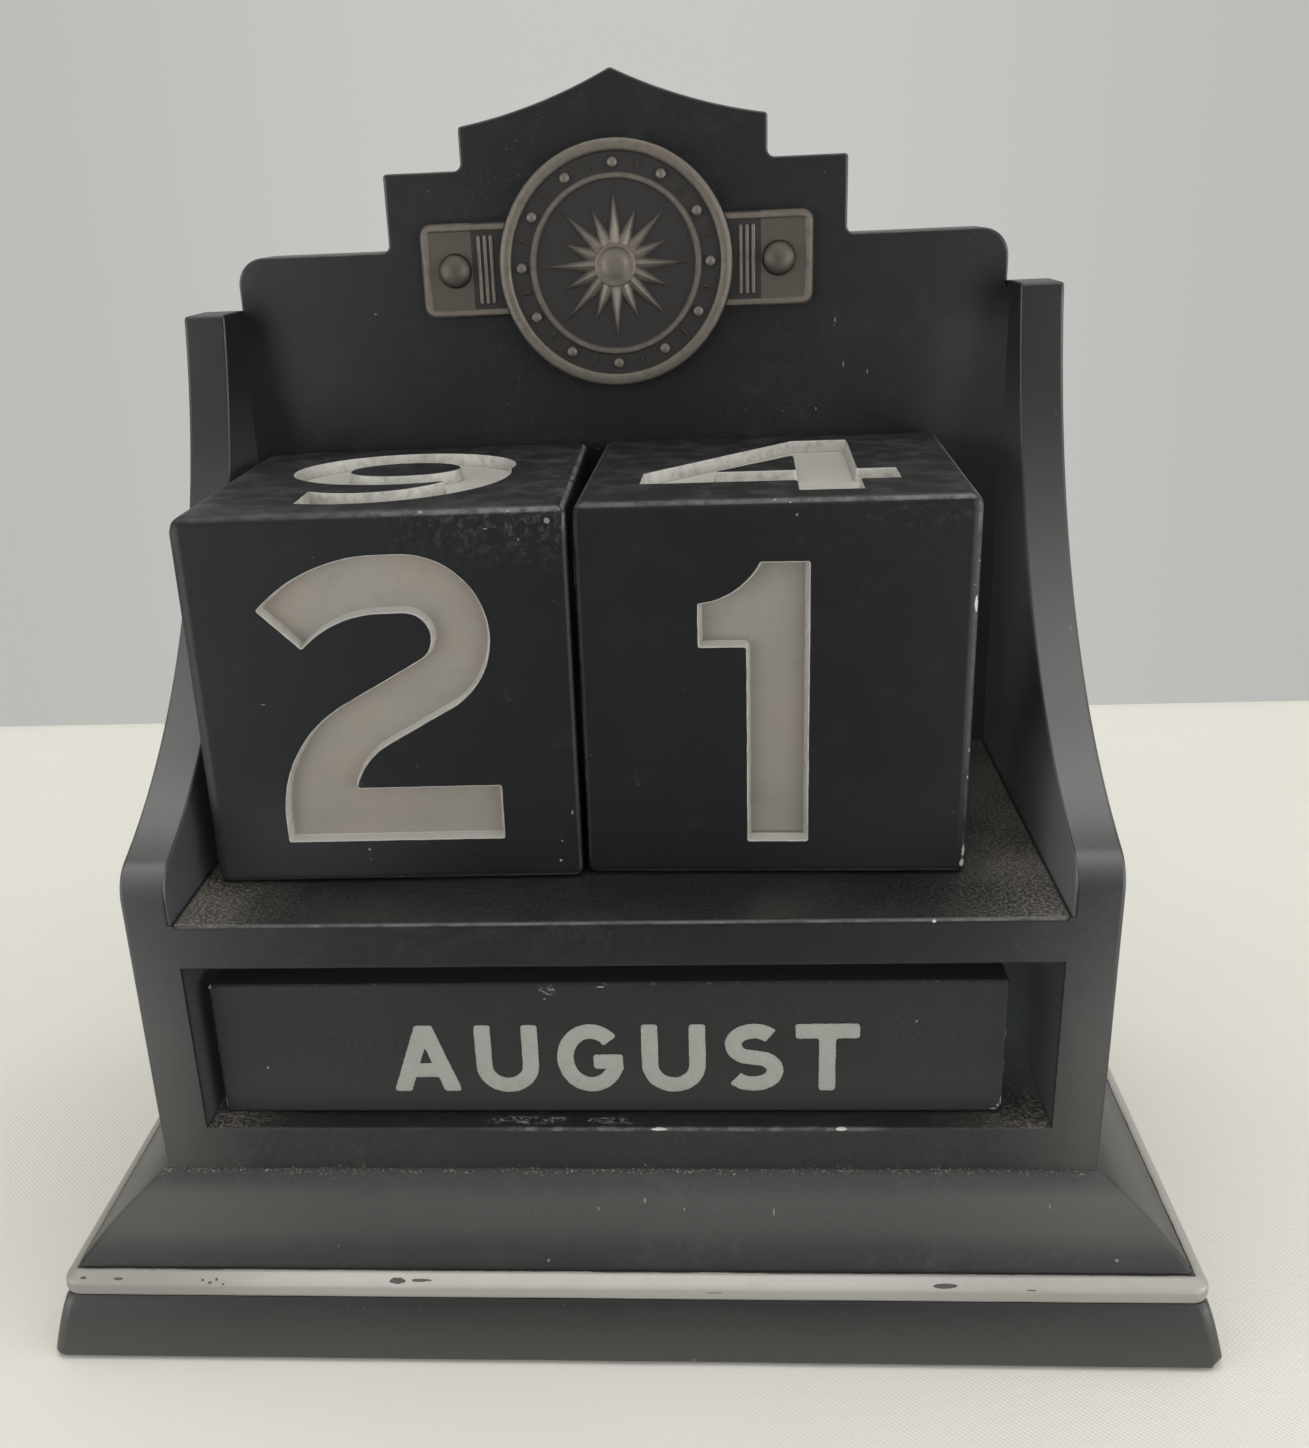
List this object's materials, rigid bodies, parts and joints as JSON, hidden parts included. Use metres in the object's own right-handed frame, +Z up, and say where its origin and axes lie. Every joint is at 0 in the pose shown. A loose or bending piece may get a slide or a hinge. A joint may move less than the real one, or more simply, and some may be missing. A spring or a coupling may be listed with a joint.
{
  "type": "perpetual desk calendar",
  "caption": "Desk calendar stand with a gabled back, loose number cubes on a shelf and four-sided month bars that pull out of a cavity below.",
  "frame": {"origin": "centre of the plinth's footprint, on the plane it rests on", "axes": "+Z up, -Y to the front where the date is read, +X to the viewer's right"},
  "size_m": [0.1396, 0.0922, 0.1438],
  "materials": {
    "black_paint": "satin black paint on cast resin",
    "cube_paint": "satin black paint, edges rubbed",
    "bar_paint": "satin black paint",
    "silver_paint": "satin silver paint, chipped",
    "numeral_silver": "silver paint in sunk numerals",
    "letter_print": "pale grey print",
    "pewter": "antiqued pewter, dark in the recesses",
    "felt": "black felt"
  },
  "bodies": {
    "stand": {"plinth": "black_paint", "trim_band": "silver_paint", "base_pad": "felt", "cavity_floor": "black_paint", "left_cheek": "black_paint", "right_cheek": "black_paint", "shelf": "black_paint", "back_panel": "black_paint", "emblem_plate": "pewter", "emblem_rivets": "pewter"},
    "left_date_cube": {"left_cube": "cube_paint", "left_cube_numerals": "numeral_silver"},
    "right_date_cube": {"right_cube": "cube_paint", "right_cube_numerals": "numeral_silver"},
    "rear_month_bar": {"rear_bar": "bar_paint", "rear_bar_letters": "letter_print"},
    "middle_month_bar": {"middle_bar": "bar_paint", "middle_bar_letters": "letter_print"},
    "front_month_bar": {"front_bar": "bar_paint", "front_bar_letters": "letter_print"}
  },
  "joints": [
    {"name": "left_cube_lift", "type": "slide", "parent": "stand", "child": "left_date_cube", "axis": [0, -0.7071, 0.7071], "range_m": [0, 0.09]},
    {"name": "right_cube_lift", "type": "slide", "parent": "stand", "child": "right_date_cube", "axis": [0, -0.7071, 0.7071], "range_m": [0, 0.09]},
    {"name": "rear_bar_pull", "type": "slide", "parent": "stand", "child": "rear_month_bar", "axis": [0, -1, 0], "range_m": [0, 0.072]},
    {"name": "middle_bar_pull", "type": "slide", "parent": "rear_month_bar", "child": "middle_month_bar", "axis": [0, -1, 0], "range_m": [0, 0.054]},
    {"name": "front_bar_pull", "type": "slide", "parent": "middle_month_bar", "child": "front_month_bar", "axis": [0, -1, 0], "range_m": [0, 0.036]}
  ]
}
